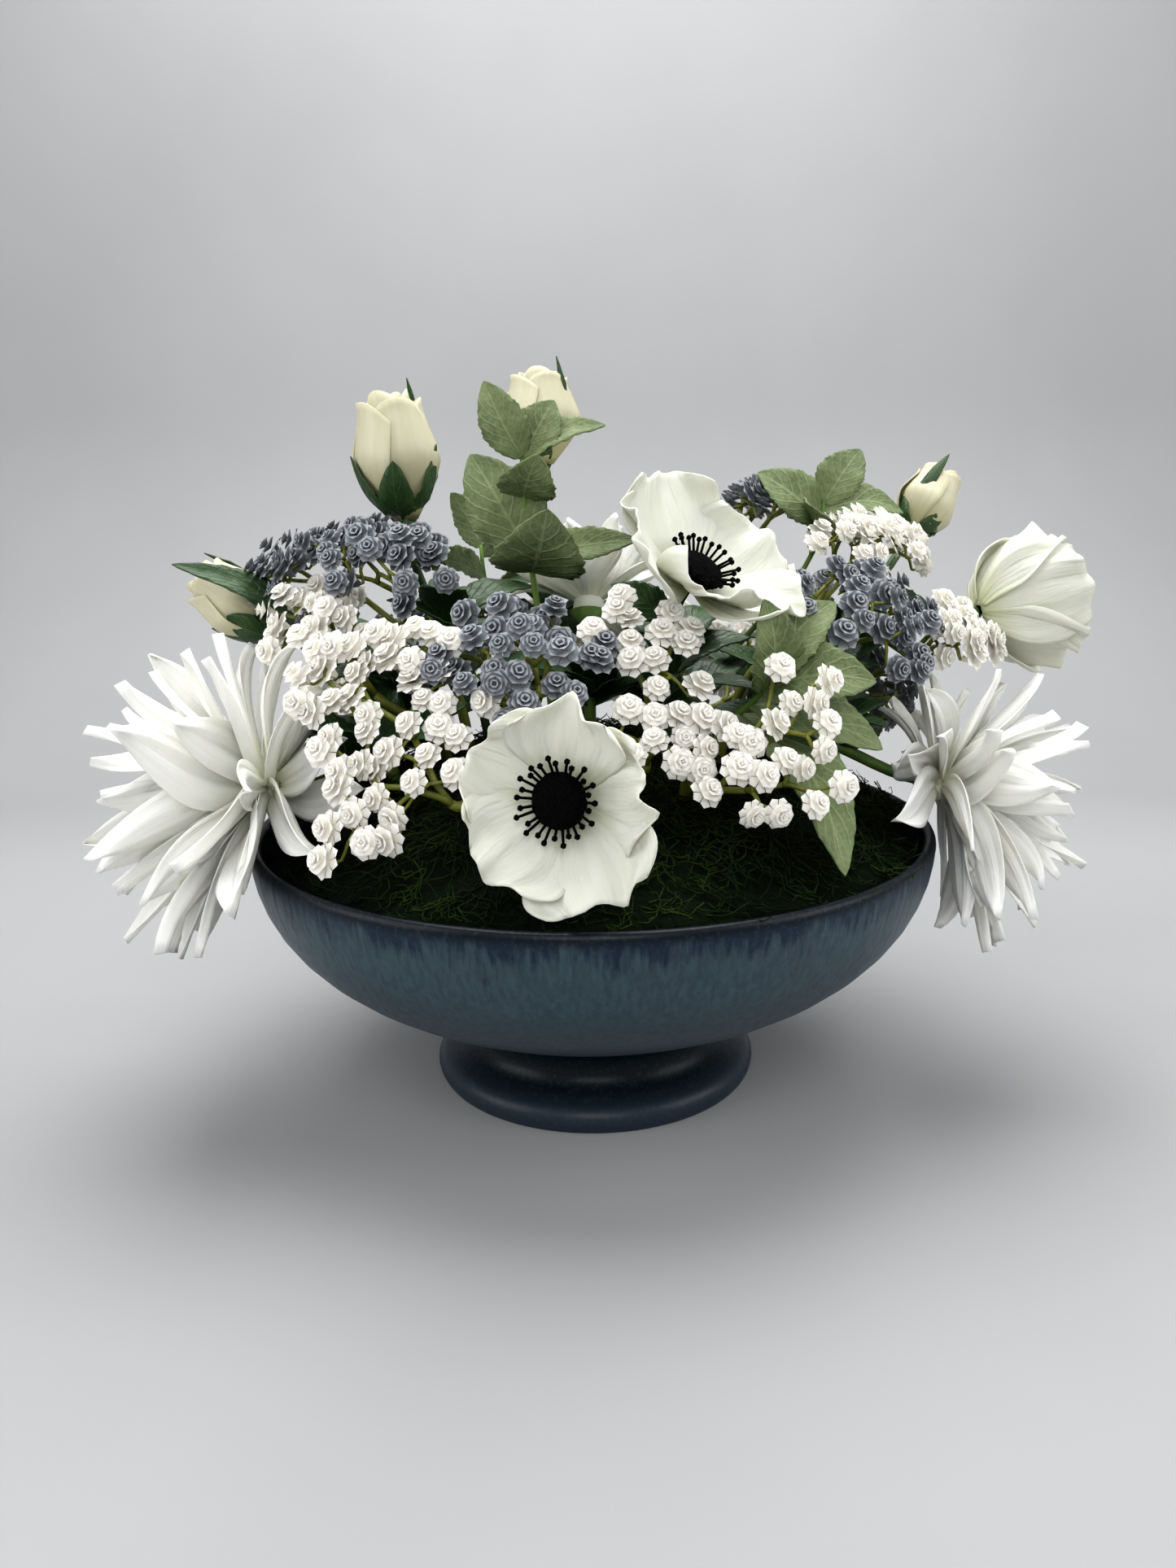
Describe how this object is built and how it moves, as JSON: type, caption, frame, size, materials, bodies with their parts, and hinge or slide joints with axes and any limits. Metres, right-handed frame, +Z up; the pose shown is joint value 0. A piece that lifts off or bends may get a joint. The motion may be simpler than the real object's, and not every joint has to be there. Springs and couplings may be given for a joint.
{
  "type": "flower arrangement in bowl",
  "caption": "Low dome of artificial white dahlias, dark-eyed anemones, rose buds, sage leaves and gypsophila sprays, set in moss in a footed, glazed bowl.",
  "frame": {"origin": "on the plane the foot rests on, at the middle of the round foot", "axes": "+Z up, the front anemone faces -Y, +X to the right as seen from the front, where the arrangement is widest"},
  "size_m": [0.3608, 0.254, 0.2709],
  "materials": {
    "glaze": "satin",
    "foam": "matte",
    "moss": "matte",
    "white_petal": "matte",
    "ivory_petal": "matte",
    "black_eye": "matte",
    "green_stem": "satin",
    "rose_green": "satin",
    "sage_leaf": "matte",
    "white_spray": "matte",
    "blue_spray": "matte"
  },
  "bodies": {
    "root": {"bowl": "glaze", "floral_foam": "foam", "moss": "moss", "anemone_front_petals": "white_petal", "anemone_front_eye": "black_eye", "anemone_front_stem": "rose_green", "anemone_top_petals": "white_petal", "anemone_top_eye": "black_eye", "anemone_top_stem": "rose_green", "anemone_right_petals": "white_petal", "anemone_right_eye": "black_eye", "anemone_right_stem": "rose_green", "anemone_back_petals": "white_petal", "anemone_back_eye": "black_eye", "anemone_back_stem": "rose_green", "rose_top_left_bloom": "ivory_petal", "rose_top_left_stem": "rose_green", "rose_left_bloom": "ivory_petal", "rose_left_stem": "rose_green", "rose_back_bloom": "ivory_petal", "rose_back_stem": "rose_green", "rose_back_right_bloom": "ivory_petal", "rose_back_right_stem": "rose_green", "dahlia_left_bloom": "white_petal", "dahlia_left_stem": "green_stem", "dahlia_right_bloom": "white_petal", "dahlia_right_stem": "green_stem", "dahlia_back_bloom": "white_petal", "dahlia_back_stem": "green_stem", "sage_sprig_top": "sage_leaf", "sage_sprig_right": "sage_leaf", "sage_sprig_back_right": "sage_leaf", "sage_sprig_back_left": "sage_leaf", "white_spray_front_left": "white_spray", "white_spray_centre": "white_spray", "white_spray_right": "white_spray", "blue_spray_centre": "blue_spray", "blue_spray_right": "blue_spray", "white_spray_left": "white_spray", "blue_spray_left": "blue_spray", "white_spray_back_right": "white_spray", "white_spray_far_right": "white_spray", "blue_spray_back_right": "blue_spray", "blue_spray_back_left": "blue_spray", "white_spray_back_low_right": "white_spray", "white_spray_back_centre": "white_spray", "white_spray_back_low_left": "white_spray", "blue_spray_back_low_right": "blue_spray"}
  },
  "joints": []
}
